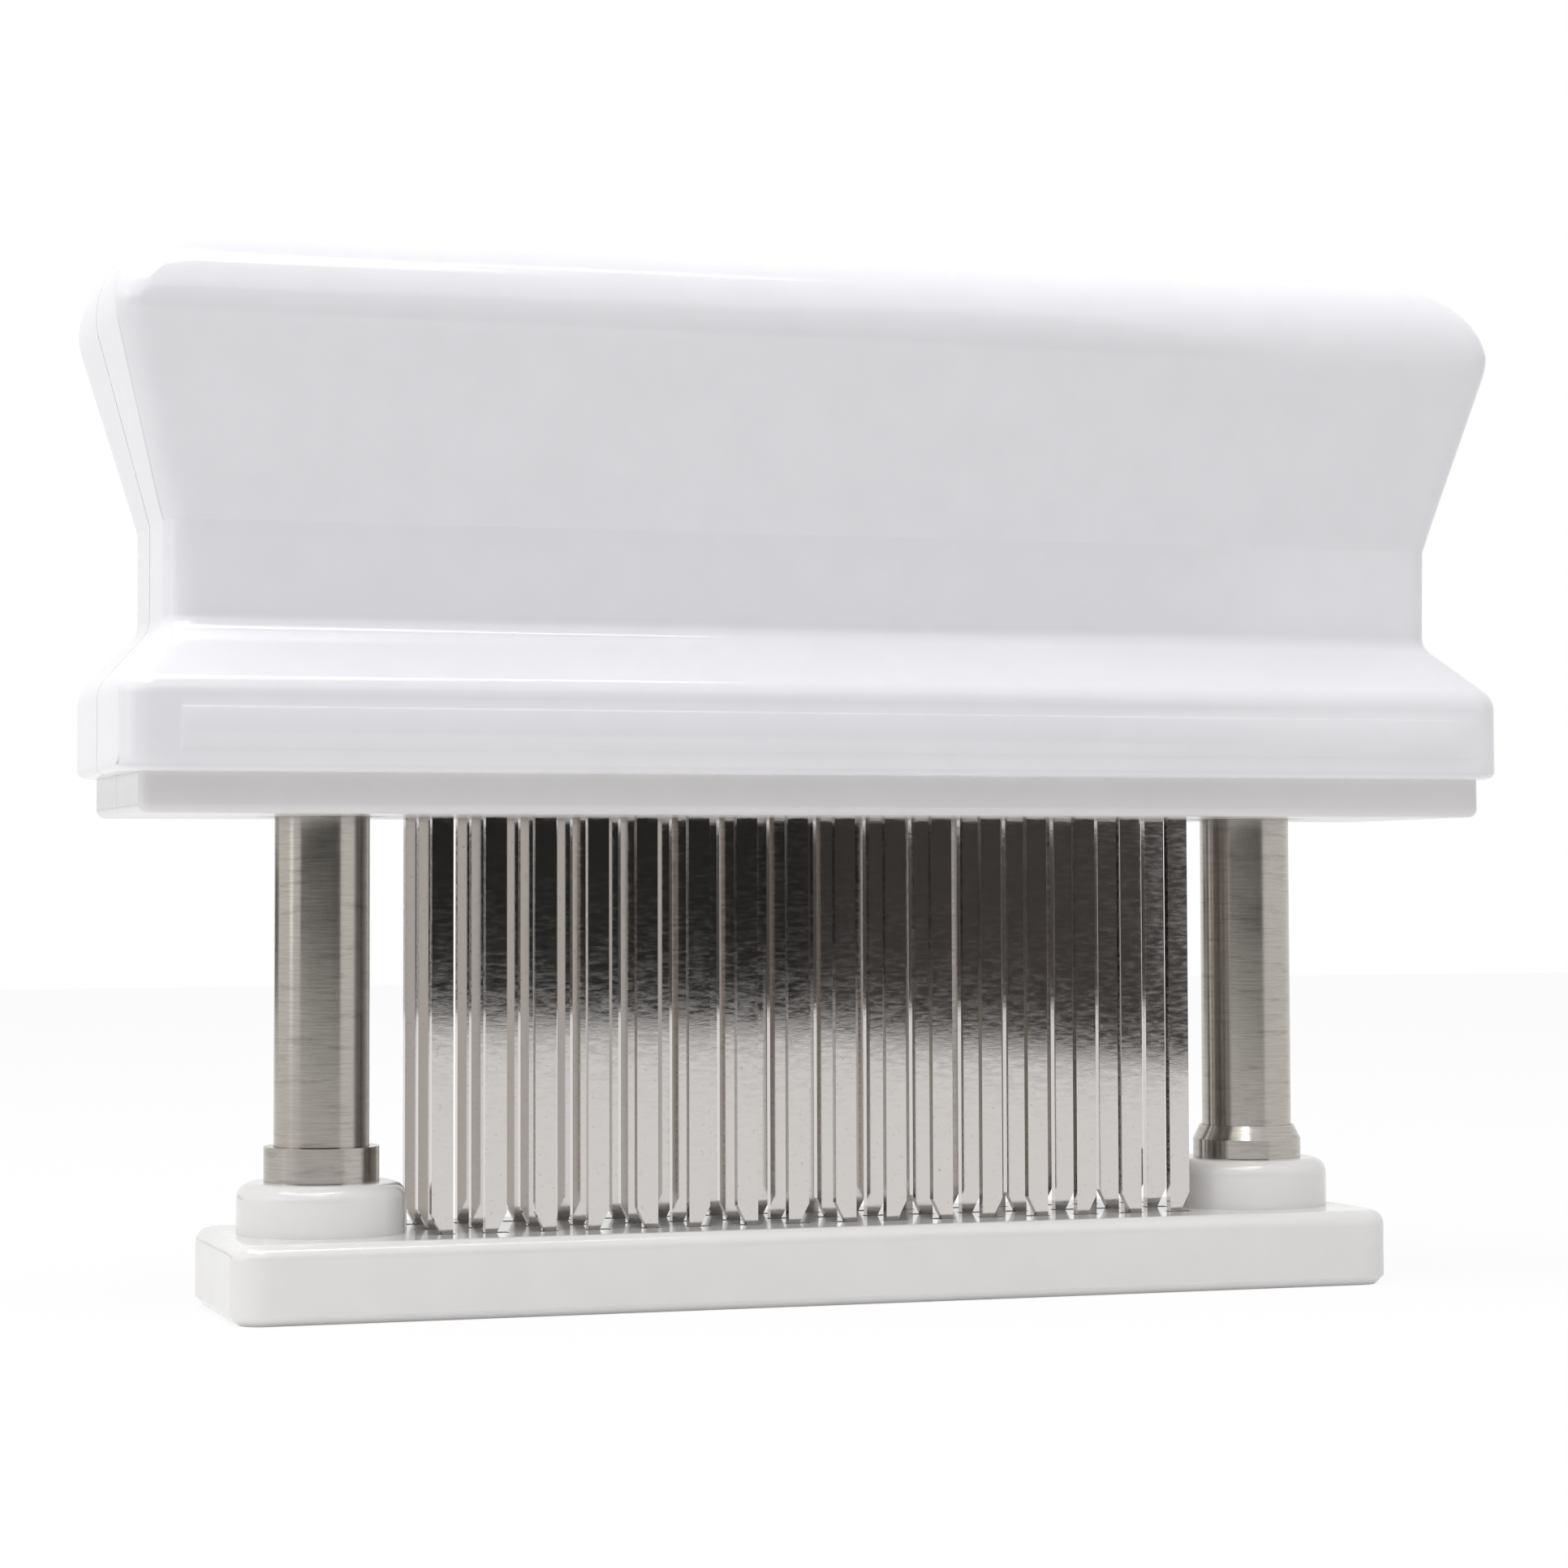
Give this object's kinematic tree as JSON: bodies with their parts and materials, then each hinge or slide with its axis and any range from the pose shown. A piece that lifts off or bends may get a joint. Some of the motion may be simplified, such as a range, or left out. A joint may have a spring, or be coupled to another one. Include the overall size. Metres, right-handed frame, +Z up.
{
  "type": "blade meat tenderizer",
  "caption": "Hand tenderizer: a long moulded grip carries rows of blades that a press pushes down through a slotted base plate on two sprung posts.",
  "frame": {"origin": "centre of the base plate's underside, on the surface that the tool stands on", "axes": "+X along the blade rows, +Z up through the grip, -Y towards the face that the picture shows"},
  "size_m": [0.1466, 0.034, 0.107],
  "materials": {
    "shell_plastic": "glossy moulded ABS, cool white",
    "plate_plastic": "moulded polypropylene, slightly warm white",
    "frame_plastic": "moulded ABS, warm white, satin",
    "bush_plastic": "natural acetal",
    "post_steel": "stainless rod, turned and polished",
    "blade_steel": "stainless strip, polished faces",
    "spring_steel": "stainless spring wire and rings",
    "screw_steel": "stainless screws"
  },
  "bodies": {
    "base": {"base_plate": "plate_plastic", "collar_left": "post_steel", "collar_right": "post_steel", "plate_screw_left": "screw_steel", "plate_screw_right": "screw_steel", "post_left": "post_steel", "post_right": "post_steel", "spring_left": "spring_steel", "spring_right": "spring_steel", "stop_ring_left": "spring_steel", "stop_ring_right": "spring_steel"},
    "housing": {"blade_block": "frame_plastic", "blade_column_01": "blade_steel", "blade_column_02": "blade_steel", "blade_column_03": "blade_steel", "blade_column_04": "blade_steel", "blade_column_05": "blade_steel", "blade_column_06": "blade_steel", "blade_column_07": "blade_steel", "blade_column_08": "blade_steel", "blade_column_09": "blade_steel", "blade_column_10": "blade_steel", "blade_column_11": "blade_steel", "blade_column_12": "blade_steel", "blade_column_13": "blade_steel", "blade_column_14": "blade_steel", "blade_column_15": "blade_steel", "blade_column_16": "blade_steel", "blade_frame_front": "frame_plastic", "blade_frame_rear": "frame_plastic", "block_cover": "frame_plastic", "cover_screws": "screw_steel", "front_shell": "shell_plastic", "guide_bush_left": "bush_plastic", "guide_bush_right": "bush_plastic", "rear_shell": "shell_plastic", "shell_screws": "screw_steel", "spring_seat_left": "bush_plastic", "spring_seat_right": "bush_plastic"}
  },
  "joints": [
    {"name": "press_stroke", "type": "slide", "parent": "base", "child": "housing", "axis": [0, 0, -1], "range_m": [0, 0.0325], "stiffness_N_per_m": 900, "springref_m": -0.014, "deforming": ["spring_left", "spring_right"]}
  ]
}
